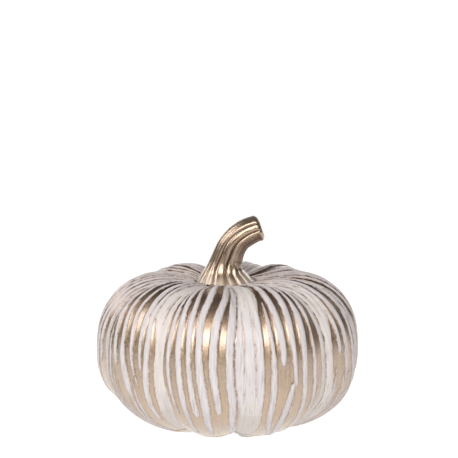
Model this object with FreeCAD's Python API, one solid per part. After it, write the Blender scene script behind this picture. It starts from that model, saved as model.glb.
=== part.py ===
"""Ceramic pumpkin figure: hollow lobed shell, separately cast bent stem, luting and foot pads.

Millimetres. +Z is up, the front of the figure faces -Y, and the origin is on the surface
that the figure stands on, under the axis of the lobed body. Angles around the body count
from the front, positive towards +X.
"""
import FreeCAD
import Part
import math
import os

Vector = FreeCAD.Vector

# ---- lobed body -------------------------------------------------------------------------
BODY_RADIUS = 75.8              # axis to the fullest point of a lobe
EQUATOR_HEIGHT = 42.9           # floor to the fullest point of a lobe
UPPER_RISE = 52.0               # equator to the top of the profile before it is dished
LOWER_DROP = 45.0               # equator to the bottom of the profile before it is ground flat
SHOULDER_FULLNESS = 2.65        # superellipse exponent above the equator, 2 is an ellipse
BELLY_FULLNESS = 2.25           # the same below the equator
CROWN_DISH_DEPTH = 12.5
CROWN_DISH_RADIUS = 32.0
CREASE_ANGLES = (4.3, 48.5, 84.0, 118.0, 152.0, 198.0, 239.0, 289.5, 330.3)
CREASE_DEPTH = 3.4
CREASE_SOFTNESS = 0.08          # rounding of the crease as a share of half a lobe
CREASE_START = 8.0              # radius at which the creases begin
CREASE_RUN = 30.0               # further radius over which they reach their full depth
WALL = 4.5                      # slip-cast wall
CAP_RADIUS = 6.0                # flat middle of the crown and of the underside
VENT_RADIUS = 1.75              # firing vent in the middle of the underside

# ---- underside --------------------------------------------------------------------------
PAD_RADIUS = 5.0
PAD_THICKNESS = 1.2
PAD_EDGE = 0.3                  # rounding of the pad's lower rim
PAD_INSET = 4.3                 # edge of the flat foot to the pad's rim
PAD_LOBES = (0, 3, 6)           # the pads sit under every third lobe
FOOT_RING_WIDTH = 17.3          # edge of the flat foot to the shallow recess inside it
RECESS_DEPTH = 1.0

# ---- stem -------------------------------------------------------------------------------
# Stations up the stem: across (+X), height over the crown seat, lean towards +X, radius.
STEM_STATIONS = (
    (-1.8, 0.0, 0.0, 16.0),
    (-2.3, 2.4, 0.0, 13.7),
    (-2.6, 5.4, 1.0, 11.3),
    (-1.7, 9.4, 4.0, 9.7),
    (-0.4, 13.0, 9.0, 9.1),
    (1.2, 17.2, 14.0, 8.7),
    (3.5, 21.2, 22.0, 8.6),
    (7.2, 25.0, 38.0, 8.6),
    (11.3, 27.8, 54.0, 8.4),
    (15.2, 29.4, 66.0, 8.0),
    (17.6, 30.0, 70.0, 7.7),
    (18.5, 30.3, 70.0, 6.6),
)
STEM_RIBS = 6
STEM_RIB_DEPTH = 0.09           # groove depth as a share of the radius
STEM_RIB_TURN = 18.0            # degrees from +X to the first rib
TENON_RADIUS = 7.0
TENON_LENGTH = 6.0
LUTING_GAP = 0.4                # width of the luting layer around and under the stem

# ---- surface resolution -----------------------------------------------------------------
LOBE_POLES = (0.0, 0.06, 0.17, 0.32, 0.5, 0.68, 0.83, 0.94)
POLES_PER_RIB = 6
RING_STEP = 5.0                 # degrees of profile angle between rings


# ---- profile and lobes ------------------------------------------------------------------
def profile(angle):
    """Radius and height of the body's outer profile, angle -90 (bottom) to 90 (top)."""
    fullness = SHOULDER_FULLNESS if angle > 0 else BELLY_FULLNESS
    reach = UPPER_RISE if angle > 0 else -LOWER_DROP
    turn = math.radians(abs(angle))
    radius = BODY_RADIUS * max(math.cos(turn), 0.0) ** (2.0 / fullness)
    height = EQUATOR_HEIGHT + reach * math.sin(turn) ** (2.0 / fullness)
    if angle > 0:
        height -= CROWN_DISH_DEPTH * math.exp(-(radius / CROWN_DISH_RADIUS) ** 2)
    return radius, height


def profile_normal(angle):
    """Outward normal of the profile, from a short step to either side."""
    step = 0.05
    r0, z0 = profile(max(angle - step, -90.0))
    r1, z1 = profile(min(angle + step, 90.0))
    length = math.hypot(r1 - r0, z1 - z0)
    return (z1 - z0) / length, (r0 - r1) / length


def profile_angle_at(radius, side):
    """Profile angle above (side 1) or below (side -1) the equator that has this radius."""
    fullness = SHOULDER_FULLNESS if side > 0 else BELLY_FULLNESS
    share = min(radius / BODY_RADIUS, 1.0)
    return side * math.degrees(math.acos(share ** (fullness / 2.0)))


def crease_share(across):
    """How deep the crease is at this place across a lobe (0 to 1): 1 in the crease, 0 mid-lobe."""
    x = 2.0 * across - 1.0
    peak = math.sqrt(1.0 + CREASE_SOFTNESS ** 2) - CREASE_SOFTNESS
    rise = math.sqrt(x * x + CREASE_SOFTNESS ** 2) - CREASE_SOFTNESS
    return (rise / peak) ** 2


def crease_fade(radius):
    """Creases grow from nothing near the axis to their full depth."""
    t = min(max((radius - CREASE_START) / CREASE_RUN, 0.0), 1.0)
    return t * t * (3.0 - 2.0 * t)


def skin_point(angle, around, across, inset):
    """Point of the body's skin, moved in by inset along the profile's normal."""
    radius, height = profile(angle)
    normal_r, normal_z = profile_normal(angle)
    depth = inset + CREASE_DEPTH * crease_fade(radius) * crease_share(across)
    radius = max(radius - depth * normal_r, CAP_RADIUS)
    height -= depth * normal_z
    turn = math.radians(around)
    return Vector(radius * math.sin(turn), -radius * math.cos(turn), height)


def lobe_columns():
    """(angle around, place across the lobe) of every column of poles."""
    columns = []
    for index, start in enumerate(CREASE_ANGLES):
        end = CREASE_ANGLES[(index + 1) % len(CREASE_ANGLES)]
        width = (end - start) % 360.0
        columns += [(start + width * across, across) for across in LOBE_POLES]
    return columns


# ---- closed solids from rings of poles --------------------------------------------------
def tube_solid(rings):
    """Closed solid through rings of poles: smooth periodic side, flat first and last ring."""
    around = len(rings[0])
    poles = [[ring[column] for ring in rings] for column in range(around)]
    spans = len(rings) - 3
    surface = Part.BSplineSurface()
    surface.buildFromPolesMultsKnots(
        poles,
        [1] * (around + 1), [4] + [1] * (spans - 1) + [4],
        [float(k) for k in range(around + 1)], [float(k) for k in range(spans + 1)],
        True, False, 3, 3,
    )
    faces = [surface.toShape()]
    for end in (0.0, float(spans)):
        rim = surface.vIso(end).toShape()
        faces.append(Part.Face(Part.Wire([rim])))
    shell = Part.makeShell(faces)
    shell.sewShape()
    solid = Part.makeSolid(Part.Shell(shell.Faces))
    if solid.Volume < 0:
        solid.reverse()
    return solid


def body_solid(inset):
    """The lobed body as one filled solid, its skin moved in by inset."""
    low = profile_angle_at(CAP_RADIUS, -1)
    high = profile_angle_at(CAP_RADIUS, 1)
    count = int(round((high - low) / RING_STEP))
    columns = lobe_columns()
    rings = []
    for index in range(count + 1):
        angle = low + (high - low) * index / count
        rings.append([skin_point(angle, around, across, inset) for around, across in columns])
    return tube_solid(rings)


def above(height):
    """Everything above a height, as a box that holds the whole figure."""
    side = 4.0 * BODY_RADIUS
    return Part.makeBox(side, side, side, Vector(-side / 2.0, -side / 2.0, height))


def crown_height():
    """Height of the crown's skin where the edge of the stem's foot meets it."""
    return profile(profile_angle_at(STEM_STATIONS[0][3], 1))[1]


def foot_radius():
    """Radius at which the middle of a lobe meets the flat foot."""
    share = (EQUATOR_HEIGHT - PAD_THICKNESS) / LOWER_DROP
    sine = share ** (BELLY_FULLNESS / 2.0)
    return BODY_RADIUS * math.sqrt(1.0 - sine * sine) ** (2.0 / BELLY_FULLNESS)


# ---- pieces -----------------------------------------------------------------------------
def make_body_shell():
    """Slip-cast shell with a flat foot, a raised stem seat with a socket, and a vent."""
    base = PAD_THICKNESS
    seat = crown_height()
    stem_x, _, _, stem_foot = STEM_STATIONS[0]
    outer = body_solid(0.0).common(above(base))
    seat_bottom = profile(90.0)[1] - WALL
    boss = Part.makeCylinder(stem_foot - LUTING_GAP, seat - seat_bottom,
                             Vector(stem_x, 0.0, seat_bottom))
    cavity = body_solid(WALL).common(above(base + WALL + RECESS_DEPTH))
    recess_radius = foot_radius() - FOOT_RING_WIDTH
    recess = Part.makeCone(recess_radius, recess_radius - RECESS_DEPTH, RECESS_DEPTH,
                           Vector(0.0, 0.0, base))
    vent = Part.makeCylinder(VENT_RADIUS, EQUATOR_HEIGHT)
    socket = Part.makeCylinder(TENON_RADIUS + LUTING_GAP, UPPER_RISE,
                               Vector(stem_x, 0.0, EQUATOR_HEIGHT))
    shell = outer.cut(cavity).fuse(boss)
    return shell.cut(recess).cut(vent).cut(socket)


def stem_ring(station, seat):
    """Ring of poles around the stem at one station, square to the stem's lean."""
    across, height, lean, radius = station
    lean = math.radians(lean)
    count = STEM_RIBS * POLES_PER_RIB
    ring = []
    for index in range(count):
        turn = 2.0 * math.pi * index / count
        rib = 1.0 - STEM_RIB_DEPTH * (1.0 - math.cos(STEM_RIBS * turn)) / 2.0
        side = radius * rib * math.cos(turn + math.radians(STEM_RIB_TURN))
        depth = radius * rib * math.sin(turn + math.radians(STEM_RIB_TURN))
        ring.append(Vector(across + side * math.cos(lean), depth,
                           seat + height - side * math.sin(lean)))
    return ring


def make_stem():
    """Ribbed stem that bends towards +X, with a flared foot and a round tenon under it."""
    seat = crown_height() + LUTING_GAP
    stem_x = STEM_STATIONS[0][0]
    stem = tube_solid([stem_ring(station, seat) for station in STEM_STATIONS])
    tenon = Part.makeCylinder(TENON_RADIUS, TENON_LENGTH, Vector(stem_x, 0.0, seat - TENON_LENGTH))
    return stem.fuse(tenon)


def make_stem_luting():
    """Luting that fills the gap around the tenon and under the stem's foot."""
    seat = crown_height()
    stem_x, _, _, stem_foot = STEM_STATIONS[0]
    depth = TENON_LENGTH - LUTING_GAP
    collar = Part.makeCylinder(stem_foot * (1.0 - STEM_RIB_DEPTH) - LUTING_GAP, LUTING_GAP,
                               Vector(stem_x, 0.0, seat))
    sleeve = Part.makeCylinder(TENON_RADIUS + LUTING_GAP, depth,
                               Vector(stem_x, 0.0, seat - depth))
    core = Part.makeCylinder(TENON_RADIUS, depth + LUTING_GAP,
                             Vector(stem_x, 0.0, seat - depth))
    return collar.fuse(sleeve).cut(core).removeSplitter()


def make_foot_pad(lobe):
    """Self-adhesive disc under the middle of one lobe, stuck to the flat foot."""
    start = CREASE_ANGLES[lobe]
    end = CREASE_ANGLES[(lobe + 1) % len(CREASE_ANGLES)]
    turn = math.radians(start + ((end - start) % 360.0) / 2.0)
    reach = foot_radius() - PAD_INSET - PAD_RADIUS
    centre = Vector(reach * math.sin(turn), -reach * math.cos(turn), 0.0)
    pad = Part.makeCylinder(PAD_RADIUS, PAD_THICKNESS, centre)
    rim = [edge for edge in pad.Edges if abs(edge.CenterOfMass.z) < PAD_EDGE / 2.0]
    return pad.makeFillet(PAD_EDGE, rim)


def main():
    pieces = {
        "body_shell": make_body_shell(),
        "stem": make_stem(),
        "stem_luting": make_stem_luting(),
    }
    for number, lobe in enumerate(PAD_LOBES, start=1):
        pieces["foot_pad_%d" % number] = make_foot_pad(lobe)
    os.makedirs("parts", exist_ok=True)
    for name, shape in pieces.items():
        box = shape.BoundBox
        print("%-12s valid %s solids %d volume %8.0f  x %.2f %.2f  y %.2f %.2f  z %.2f %.2f" % (
            name, shape.isValid(), len(shape.Solids), shape.Volume,
            box.XMin, box.XMax, box.YMin, box.YMax, box.ZMin, box.ZMax))
        shape.exportStep("parts/%s.step" % name)


main()
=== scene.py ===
"""Ceramic pumpkin figure: the finished surfaces, the stage and the camera.

Metres. +Z is up, the front of the figure faces -Y. Angles around the body count from the
front, positive towards +X. "Share" is the way along the body's outer profile, 0 in the
middle of the crown and 1 at the edge of the flat foot.
"""
import math
import random

import bpy
import numpy as np
from bpy.props import (FloatProperty, FloatVectorProperty, IntProperty, PointerProperty)
from bpy.types import Operator, Panel, PropertyGroup
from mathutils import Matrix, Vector


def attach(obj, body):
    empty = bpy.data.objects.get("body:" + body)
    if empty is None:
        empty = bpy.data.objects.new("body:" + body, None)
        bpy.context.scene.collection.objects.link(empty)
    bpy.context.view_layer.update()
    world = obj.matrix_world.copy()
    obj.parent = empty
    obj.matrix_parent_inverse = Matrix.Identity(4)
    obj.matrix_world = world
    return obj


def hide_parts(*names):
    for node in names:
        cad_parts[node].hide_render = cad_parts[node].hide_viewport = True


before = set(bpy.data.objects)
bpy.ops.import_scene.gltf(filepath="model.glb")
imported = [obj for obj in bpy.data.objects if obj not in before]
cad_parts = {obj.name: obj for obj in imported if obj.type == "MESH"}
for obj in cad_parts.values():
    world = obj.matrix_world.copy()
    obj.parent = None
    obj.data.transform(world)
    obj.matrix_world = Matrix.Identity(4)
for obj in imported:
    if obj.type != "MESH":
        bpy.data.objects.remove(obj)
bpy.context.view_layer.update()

bl_info = {
    "name": "Ceramic pumpkin figure",
    "version": (1, 0, 0),
    "blender": (4, 5, 0),
    "location": "3D View > Sidebar > Pumpkin",
    "description": "Lobed ceramic pumpkin with brushed white ridges over gold, and a bent gold stem",
    "category": "Object",
}

# ---- lobed body, as in the frame ----
BODY_RADIUS = 0.0758
EQUATOR_HEIGHT = 0.0429
UPPER_RISE = 0.0520
LOWER_DROP = 0.0450
SHOULDER_FULLNESS = 2.65
BELLY_FULLNESS = 2.25
CROWN_DISH_DEPTH = 0.0125
CROWN_DISH_RADIUS = 0.0320
CREASE_ANGLES = (4.3, 48.5, 84.0, 118.0, 152.0, 198.0, 239.0, 289.5, 330.3)
CREASE_DEPTH = 0.0034
CREASE_SOFTNESS = 0.08
CREASE_START = 0.008
CREASE_RUN = 0.030
WALL = 0.0045
FOOT_HEIGHT = 0.0012            # the pads lift the flat foot by this
FOOT_ROUNDING = 0.0004          # softened edge between the skin and the flat foot
FOOT_RING_WIDTH = 0.0173
RECESS_DEPTH = 0.0010
VENT_RADIUS = 0.00175
VENT_ROUNDING = 0.0003
SKIN_MARGIN = 0.00054           # ridge tops lie this far inside the plain lobed skin
LEAST_MARGIN = 0.00022          # and this far where the body is narrower than its equator
EQUATOR_SHARE = 0.62
MARGIN_SPREAD = 0.16            # share over which the margin falls off to either side of it
MARGIN_FADE = (0.016, 0.026)    # radii over which the margin grows from nothing on the crown
RELIEF_FADE = (0.0138, 0.0172)  # radii over which the ridges grow out of the smooth crown
LOW_RELIEF_START = 0.55         # share from which the ridges get flatter
LOW_RELIEF_RUN = 0.25
LOW_RELIEF_LOSS = 0.5           # share of their height lost
RIDGE_LAP = 0.0004              # a ridge starts to rise this far outside its edge
BAND_EDGE = 0.002               # slope at the edge of a brushed band
BAND_RISE = 0.45                # its height as a share of a ridge's
SEAT_SHIFT_RUN = 0.010          # the crown follows the stem's offset this far past the seat
SKIN_UNDER_FOOT = 0.7           # share of the foot ring that the skin's rows cover
RECESS_BEVEL = 0.0001
RECESS_RUN_OUT = 0.0005
BOSS_STEP = 0.0015
PLAIN_SHARE = 1.2               # share noted for rows that carry no paint
PROFILE_SAMPLES = 7201
LINING_ROWS = 18
SHARP_ANGLE = 50.0              # an edge between faces steeper than this stays sharp

# ---- stem, as in the frame ----
# across (+X), height over the crown seat, lean in degrees towards +X, radius
STEM_STATIONS = (
    (-0.0018, 0, 0, 0.016), (-0.0023, 0.0024, 0, 0.0137),
    (-0.0026, 0.0054, 1, 0.0113), (-0.0017, 0.0094, 4, 0.0097),
    (-0.0004, 0.013, 9, 0.0091), (0.0012, 0.0172, 14, 0.0087),
    (0.0035, 0.0212, 22, 0.0086), (0.0072, 0.025, 38, 0.0086),
    (0.0113, 0.0278, 54, 0.0084), (0.0152, 0.0294, 66, 0.008),
    (0.0176, 0.03, 70, 0.0077), (0.0185, 0.0303, 70, 0.0066),
)
SOCKET_RADIUS = 0.0074
SEAT_RADIUS = 0.0156
LUTING_GAP = 0.0004
TIP_TRIM = 0.00036              # the upper stem is this much thinner and lower than its stations
FOOT_SKIRT = 0.0007             # the foot's edge reaches this far down over the luting
# angle around the stem from the front, and the groove's depth at the foot and farther up, as
# shares of the deepest
STEM_GROOVES = (
    (-54.0, 0.6, 0.2), (-30.0, 1.0, 1.0), (6.0, 1.0, 1.1), (30.0, 0.8, 0.08), (56.0, 0.8, 0.1),
    (92.0, 0.9, 0.9), (128.0, 0.6, 0.5), (160.0, 1.0, 1.0), (197.0, 0.7, 0.7),
    (233.0, 1.0, 1.0), (270.0, 0.6, 0.5),
)
FOOT_GROOVES_END = (0.10, 0.38)  # share of the stem's length over which the foot's grooves fade
GROOVE_SHARPNESS = 3.0
GROOVE_LOSS = 0.4               # share of depth lost up the stem, and again at its tip
GROOVE_TIP = (0.90, 0.10)       # start and run of the loss at the tip, as shares of the length
TIP_TRIM_PLACE = (0.5, 0.3)     # the same for the trim
# size and sink of each ring that closes the cut end
TIP_RINGS = ((0.93, -0.00025), (0.84, 0.0001), (0.66, 0.0005), (0.40, 0.0008), (0.12, 0.0009))
STEM_FLOW = (9.0, 50.0)         # rough radius and length in mm, for the streaks

# ---- white ridges of the front: (share, angle, half width in degrees) from crown to foot ----
FRONT_RIDGES = (
    ((0.1, -73.6, 1.6), (0.3, -73.2, 1.1), (0.45, -72.2, 0.9), (0.6, -70.8, 0.9), (0.7, -69.6, 0.3)),
    ((0.1, -70, 1.5), (0.3, -69.8, 1.2), (0.45, -68.6, 0.9), (0.6, -67, 1), (0.8, -64, 0.8),
     (0.88, -62, 0.3)),
    ((0.28, -62, 0.2), (0.36, -61.4, 0.6), (0.46, -59.4, 0.5), (0.52, -58.6, 0.2)),
    ((0.46, -63.6, 0.2), (0.52, -62.4, 0.7), (0.64, -60.5, 0.8), (0.72, -58.8, 0.3)),
    ((0.1, -66, 1.8), (0.3, -65, 1.4), (0.42, -61, 1.4), (0.5, -58, 1.4), (0.56, -56.3, 1.3),
     (0.6, -55.4, 0.7)),
    ((0.1, -58, 1.9), (0.3, -57.2, 1.3), (0.4, -55, 1.3), (0.5, -51.7, 1.3), (0.57, -50.5, 1.7),
     (0.61, -49, 2), (0.68, -46.5, 1.3), (0.71, -45.5, 0.4)),
    ((0.1, -50, 1.8), (0.3, -49.3, 1.1), (0.4, -48.7, 1.1), (0.5, -46, 1), (0.6, -43.8, 0.7),
     (0.66, -41, 0.1)),
    ((0.1, -43.8, 1.9), (0.3, -43, 1.7), (0.4, -42, 1.4), (0.5, -41, 0.9), (0.6, -39.9, 0.6)),
    ((0.1, -39.5, 1.9), (0.3, -39, 1.3), (0.4, -38.8, 1.3), (0.5, -37.3, 1.3), (0.6, -37.2, 1.3),
     (0.7, -37, 1.3), (0.78, -36, 1), (0.81, -35.5, 0.4)),
    ((0.1, -27.5, 1.7), (0.3, -27.6, 1.2), (0.4, -26.6, 1.2), (0.5, -26.5, 1.1), (0.6, -26.1, 1),
     (0.65, -24.9, 0.8), (0.7, -23.5, 0.6), (0.75, -22.3, 0.3)),
    ((0.1, -23.8, 1.8), (0.2, -23.8, 1.6), (0.3, -23.6, 1.6), (0.4, -22.2, 1.5), (0.5, -21.7, 1.4),
     (0.6, -20.7, 1.4), (0.7, -19, 1.3), (0.8, -17.8, 1.2), (0.86, -17.2, 0.8)),
    ((0.1, -18.6, 1.9), (0.22, -18.4, 1), (0.28, -18.2, 1.1), (0.35, -17.3, 1.4), (0.4, -17.4, 1.6),
     (0.5, -17, 1.1), (0.6, -16, 1.1), (0.7, -14.3, 1.4), (0.745, -13.7, 1.4)),
    ((0.1, -11.5, 2.4), (0.2, -11.2, 2.1), (0.3, -10.6, 2.2), (0.4, -12.3, 1.7), (0.5, -12.5, 1.4),
     (0.6, -11.4, 1.7), (0.7, -9.6, 1.8), (0.8, -9.2, 1.6), (0.87, -9, 1)),
    ((0.1, -1.8, 2.4), (0.2, -1.7, 1.9), (0.3, -1.9, 1.9), (0.4, -4.9, 1.9), (0.5, -6.1, 1.7),
     (0.6, -6, 1.6), (0.65, -5, 1.4), (0.7, -4.2, 1.3), (0.735, -3.9, 1.2)),
    ((0.1, 3, 1.9), (0.3, 3.4, 1.9), (0.4, 2, 2), (0.5, 0.75, 1.8), (0.6, 0.75, 1.6), (0.7, 2, 1.75),
     (0.8, 1.9, 1.5), (0.9, 2.1, 1.3), (0.96, 2.3, 0.8)),
    ((0.1, 7.4, 1.9), (0.3, 6.7, 1.1), (0.4, 5.65, 1.1), (0.5, 5, 1.75), (0.6, 4.9, 1.85), (0.68, 5.4, 1.3),
     (0.75, 6, 1.2)),
    ((0.1, 9.6, 2.2), (0.4, 9.3, 2.3), (0.5, 9.25, 2.25), (0.9, 9.2, 2.2), (0.96, 9.2, 1.6)),
    ((0.1, 13.3, 1.9), (0.4, 13.6, 1.6), (0.5, 13.5, 1.65), (0.6, 13.5, 1.7), (0.7, 13.6, 1.4),
     (0.8, 13.2, 1.3)),
    ((0.335, 19, 0.1), (0.4, 18.8, 0.7), (0.5, 19.1, 0.95), (0.6, 19.4, 1.3), (0.7, 19, 1.4),
     (0.77, 19.3, 1.3), (0.82, 21, 1.2), (0.88, 25, 1.1), (0.93, 27.5, 0.6)),
    ((0.1, 22.6, 2.9), (0.2, 22.9, 2.4), (0.3, 23, 2.1), (0.4, 23.4, 1.7), (0.5, 23.6, 1.5),
     (0.57, 23.7, 1.1)),
    ((0.625, 28, 1), (0.66, 27, 1.3), (0.7, 26.2, 1.45), (0.76, 25.6, 1.5), (0.82, 25.9, 1.6),
     (0.88, 28.5, 1.5), (0.94, 31.5, 1.1), (0.97, 33, 0.4)),
    ((0.1, 29.8, 2.7), (0.2, 30.3, 2.6), (0.3, 30.8, 2.3), (0.4, 29.4, 1.6), (0.5, 28.6, 1.2),
     (0.6, 29.1, 1), (0.64, 29.3, 0.8)),
    ((0.1, 36, 2.4), (0.2, 36.2, 2), (0.31, 36.3, 1.2), (0.4, 35.3, 1.9), (0.5, 34.1, 1.55),
     (0.6, 33.8, 1.35), (0.7, 34.2, 1.2), (0.8, 34.4, 1), (0.9, 36, 0.8), (0.95, 37, 0.3)),
    ((0.1, 41.8, 2.4), (0.2, 41.8, 2.2), (0.3, 41.5, 1.8), (0.4, 40.5, 1.3), (0.46, 40, 0.4),
     (0.5, 39.4, 0.8), (0.6, 39.6, 1.2), (0.68, 39.6, 1), (0.76, 39.2, 0.8), (0.84, 39, 0.3)),
    ((0.1, 57.4, 2.2), (0.3, 57.2, 1.3), (0.4, 56.6, 1), (0.5, 56.4, 1.2), (0.565, 56.4, 1.1)),
    ((0.1, 62.3, 2.3), (0.3, 61.2, 2), (0.4, 60.8, 1.8), (0.5, 61.2, 1.6), (0.6, 61, 1.1),
     (0.66, 60.5, 0.4)),
    ((0.66, 41.5, 0.2), (0.72, 41, 0.6), (0.8, 40.8, 0.7), (0.88, 41.5, 0.6), (0.94, 42.5, 0.3)),
    ((0.66, 28.6, 0.2), (0.72, 28.4, 0.35), (0.78, 28, 0.2)),
)
# thin lines scratched through the paint down to the gold, the same way
SCRATCHED_LINES = (
    ((0.3, -29.2, 0.15), (0.5, -28.7, 0.22), (0.6, -28, 0.28), (0.7, -25.2, 0.28), (0.78, -25.6, 0.28),
     (0.86, -30, 0.2)),
    ((0.28, -32.5, 0.05), (0.36, -32.8, 0.16), (0.47, -32.4, 0.05)),
    ((0.14, 5.9, 0.1), (0.3, 5.5, 0.25), (0.4, 4.3, 0.25), (0.5, 2.95, 0.25), (0.6, 2.8, 0.25),
     (0.7, 4.1, 0.22), (0.8, 4, 0.22), (0.9, 4.7, 0.2)),
    ((0.16, 49.5, 0.06), (0.3, 49.6, 0.16), (0.5, 48.7, 0.2), (0.7, 48.6, 0.2), (0.92, 48.8, 0.12)),
    ((0.2, 53, 0.05), (0.3, 52.8, 0.16), (0.42, 51.4, 0.05)),
)
# broad, thinly brushed bands in and beside the creases, the same way
FRONT_BANDS = (
    ((0.1, -34, 3.6), (0.3, -33.9, 3.7), (0.4, -33.5, 3.8), (0.5, -31.5, 2.1), (0.6, -31.5, 2.1),
     (0.7, -29.5, 3.6), (0.8, -29.5, 4), (1, -29.8, 3.6)),
    ((0.1, 11.2, 4.9), (0.36, 11.2, 4.7), (0.4, 11, 3.4)),
    ((0.66, 10, 3.6), (0.72, 10, 4.8), (0.9, 10, 5), (1, 9.8, 4.8)),
    ((0.1, 50.5, 3.6), (0.25, 51.5, 4.4), (0.35, 51.3, 5.2), (0.42, 50, 5.2), (0.5, 48.9, 4.1),
     (0.7, 48.8, 4.1), (0.9, 48.9, 4), (0.97, 49, 3)),
)
# first and last angle, angle between them and lean of the thin ribs low on the front's sides
FINE_RIBS = ((54.0, 70.0, 2.5, -1.5), (-66.0, -43.0, 2.8, 5.0))
FINE_RIB_HALF_WIDTH = (0.45, 0.75)
FRONT_EDGE = (66.5, 284.0)      # the ridges past these angles are laid out by the loop below
HIDDEN_PITCH = (3.7, 5.0)       # degrees from ridge to ridge
HIDDEN_HALF_WIDTH = (1.05, 1.55)
HIDDEN_BAND_HALF_WIDTH = (3.2, 4.1)
HIDDEN_CLEARANCE = (1.9, 1.0)   # degrees from the first ridge to a band, and to the front's ridges
PAINT_SEED = 41
CROWN_PAINT_SHARE = 0.080       # above this share the crown is painted all over
CROWN_PAINT_WAVE = 0.030
PARTING_SHARE = 0.745           # the mould's parting line, under which the paint is duller
HAZE_SHARE = (0.60, 0.72)       # thin streaks of paint over the gold begin below this
END_LENGTH = 2.2                # a ridge's rounded end is this many half widths long
PAINT_REACH = 0.004             # signed distance to the paint's edge is kept within this

# ---- minor tones of the coats, and colours of painted shade ----
SPECK = (0.47, 0.40, 0.37, 1.0)
RIDGE_RIM = (0.50, 0.405, 0.37, 1.0)
DULL_PAINT = (0.52, 0.46, 0.395, 1.0)
# painted shade: darker, redder gold for the upper body, standing in for the dark room that it reflects
PAINTED_SHADE_GOLD = (0.48, 0.30, 0.195, 1.0)
# painted shade: near-black brown for the gold gaps just below the crown
UPPER_SHADE_BROWN = (0.14, 0.065, 0.037, 1.0)
# painted shade in the gold beside each ridge, partly a brown contour line
EDGE_CONTOUR_AND_SHADE = (0.19, 0.108, 0.07, 1.0)
STEM_STREAK = (0.28, 0.17, 0.105, 1.0)
# painted shade for the stem's grooves
STEM_GROOVE_SHADE = (0.16, 0.09, 0.055, 1.0)
STEM_FOOT_PAINT = (0.58, 0.49, 0.41, 1.0)

# ---- stage ----
# azimuth in degrees and width of the soft lights in front; the power of each follows its width
FRONT_SOFTBOXES = ((-94.0, 0.60), (-25.0, 0.90), (15.0, 1.10))
WIDEST_SOFTBOX = 1.10
FRONT_ELEVATION, FRONT_DISTANCE, FRONT_HEIGHT = 37.0, 1.5, 0.80
BODY_MIDDLE = 0.045             # height that the lights face
CAMERA_ACROSS = 0.00046
# how far up the room, 0 straight below and 1 straight above, and how bright it is there
ROOM_STOPS = ((0.0, 0.9), (0.49, 0.8), (0.505, 0.05), (0.60, 0.05), (0.68, 0.28), (0.86, 0.26),
              (1.0, 0.20))


# ---- profile and lobes ----
def profile(angle):
    """Radius and height of the plain outer profile, for profile angles of -90 to 90 degrees."""
    angle = np.asarray(angle, float)
    turn = np.radians(np.abs(angle))
    upper = angle > 0
    power = 2.0 / np.where(upper, SHOULDER_FULLNESS, BELLY_FULLNESS)
    radius = BODY_RADIUS * np.clip(np.cos(turn), 0.0, 1.0) ** power
    height = EQUATOR_HEIGHT + np.where(upper, UPPER_RISE, -LOWER_DROP) * np.sin(turn) ** power
    dish = CROWN_DISH_DEPTH * np.exp(-(radius / CROWN_DISH_RADIUS) ** 2)
    return radius, height - np.where(upper, dish, 0.0)


def smoothstep(x):
    x = np.clip(x, 0.0, 1.0)
    return x * x * (3.0 - 2.0 * x)


def fade_in(x, limits):
    """0 below the first limit, 1 above the second, smooth between."""
    return smoothstep((x - limits[0]) / (limits[1] - limits[0]))


def crease_share(around):
    """1 in a crease, 0 in the middle of a lobe, for angles around the body in degrees."""
    starts = np.array(CREASE_ANGLES)
    widths = np.diff(np.append(starts, starts[0] + 360.0))
    turned = (np.asarray(around, float) - starts[0]) % 360.0
    lobe = np.searchsorted(starts - starts[0], turned, side="right") - 1
    across = (turned - (starts[lobe] - starts[0])) / widths[lobe]
    x = 2.0 * across - 1.0
    peak = math.sqrt(1.0 + CREASE_SOFTNESS ** 2) - CREASE_SOFTNESS
    return ((np.sqrt(x * x + CREASE_SOFTNESS ** 2) - CREASE_SOFTNESS) / peak) ** 2


def crease_fade(radius):
    return smoothstep((radius - CREASE_START) / CREASE_RUN)


def seat_height():
    """Height of the crown where the edge of the stem's foot meets it."""
    share = STEM_STATIONS[0][3] / BODY_RADIUS
    return float(profile(math.degrees(math.acos(share ** (SHOULDER_FULLNESS / 2.0))))[1])


def foot_radius():
    """Radius at which the middle of a lobe meets the flat foot."""
    share = (EQUATOR_HEIGHT - FOOT_HEIGHT) / LOWER_DROP
    sine = share ** (BELLY_FULLNESS / 2.0)
    return BODY_RADIUS * math.sqrt(1.0 - sine * sine) ** (2.0 / BELLY_FULLNESS)


class Profile:
    """The outer profile, sampled finely from the crown to the underside."""

    def __init__(self):
        angles = np.linspace(90.0, -90.0, PROFILE_SAMPLES)
        self.radius, self.height = profile(angles)
        steps = np.hypot(np.diff(self.radius), np.diff(self.height))
        self.length = np.append(0.0, np.cumsum(steps))
        below = (self.height < EQUATOR_HEIGHT) & (self.radius > foot_radius())
        self.foot_length = self.length[below][-1]
        normal_r = -np.gradient(self.height, self.length)
        normal_z = np.gradient(self.radius, self.length)
        self.normal_r, self.normal_z = normal_r, normal_z

    def at(self, lengths):
        """Radius, height, normal and share at these lengths along the profile."""
        values = [np.interp(lengths, self.length, row)
                  for row in (self.radius, self.height, self.normal_r, self.normal_z)]
        return (*values, np.asarray(lengths) / self.foot_length)

    def length_at_radius(self, radius, upper):
        side = self.height > EQUATOR_HEIGHT if upper else self.height < EQUATOR_HEIGHT
        found = np.where(side & (self.radius >= radius))[0]
        return self.length[found[0] if upper else found[-1]]


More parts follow.
